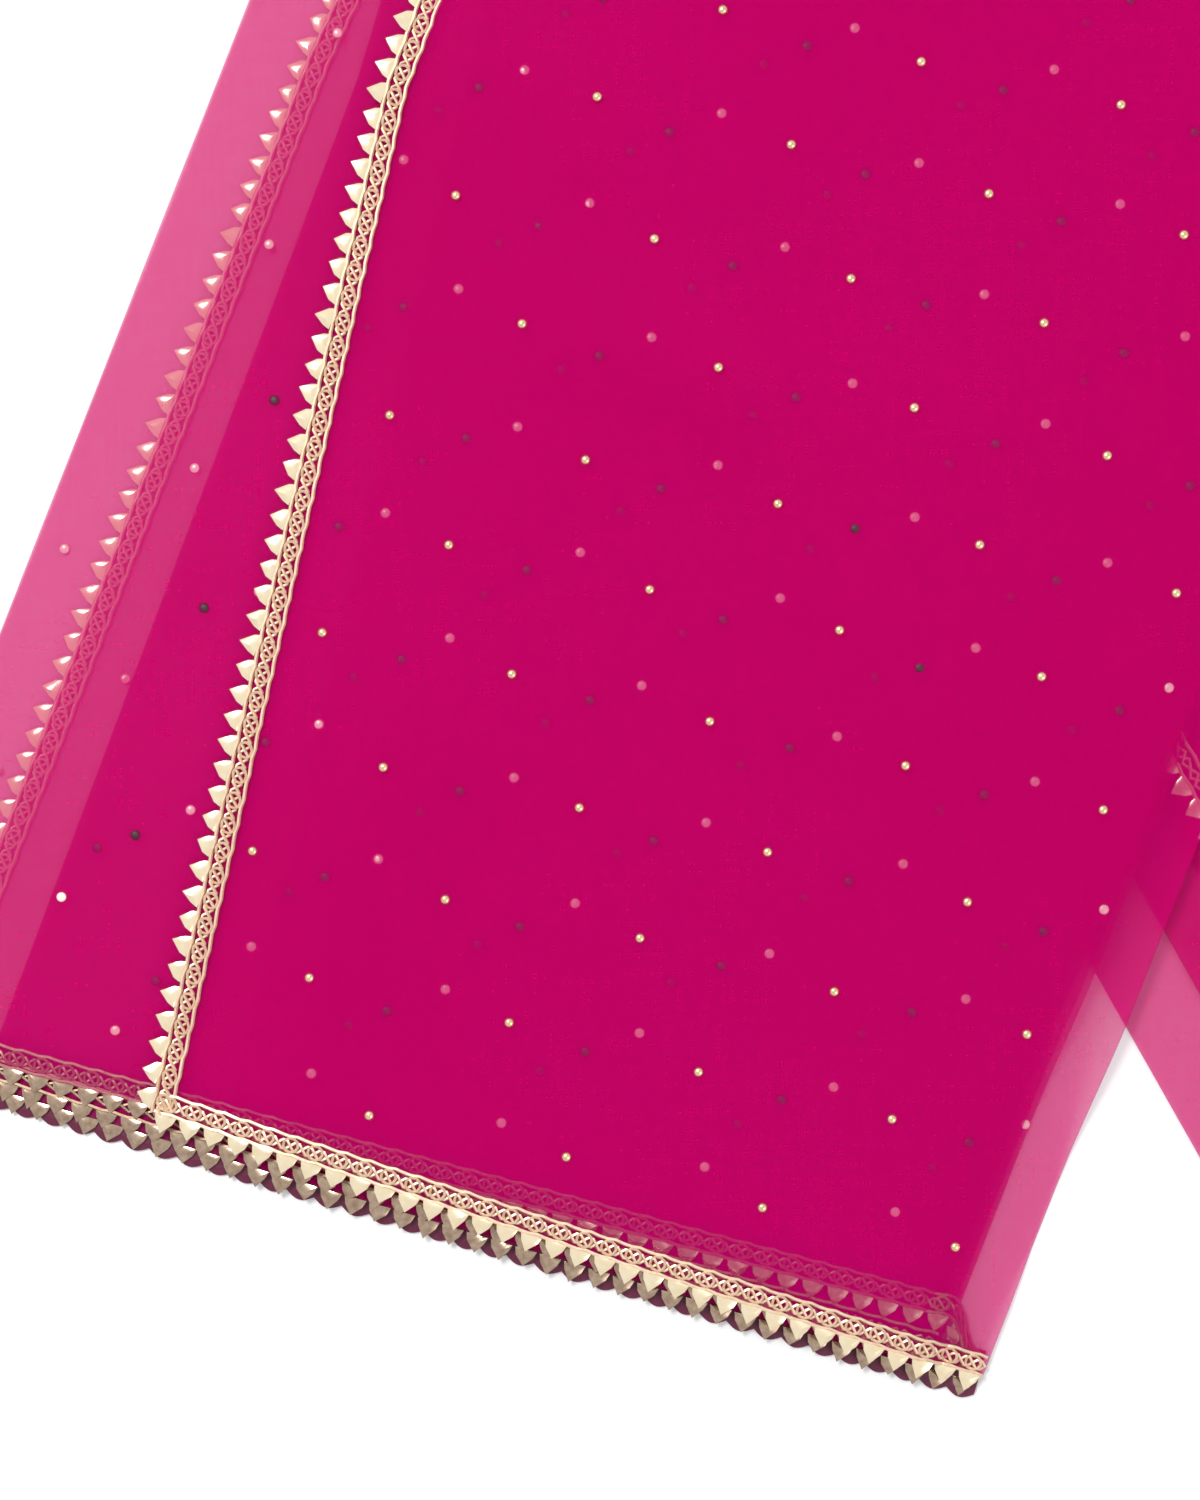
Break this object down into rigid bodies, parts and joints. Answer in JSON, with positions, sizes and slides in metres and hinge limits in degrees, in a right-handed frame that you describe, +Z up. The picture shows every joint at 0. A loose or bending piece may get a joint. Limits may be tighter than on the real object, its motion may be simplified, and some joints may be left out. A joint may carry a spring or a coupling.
{
  "type": "dupatta stole",
  "caption": "Sheer hot pink dupatta with gold scalloped lace and small gold dots, folded into a strip and laid flat, bent once.",
  "frame": {"origin": "under the middle of the folded cloth's bounding box, on the surface that it lies on", "axes": "+Z up; +Y away from the viewer, from the laced ends towards the bend; +X to the viewer's right"},
  "size_m": [0.7784, 0.696, 0.0141],
  "materials": {
    "sheer_cloth": "sheer, soft sheen",
    "gold_lace": "metallic thread and foil",
    "gold_dots": "polished"
  },
  "bodies": {
    "root": {"hidden_layers_front": "sheer_cloth", "left_band_front": "sheer_cloth", "panel_front": "sheer_cloth", "side_lace_front": "gold_lace", "side_lace_inner": "gold_lace", "end_lace_front": "gold_lace", "end_lace_second": "gold_lace", "end_lace_under": "gold_lace", "bend_fold": "sheer_cloth", "hidden_layers_rear": "sheer_cloth", "left_band_rear": "sheer_cloth", "panel_rear": "sheer_cloth", "side_lace_rear": "gold_lace", "tail_fold": "sheer_cloth"}
  },
  "joints": []
}
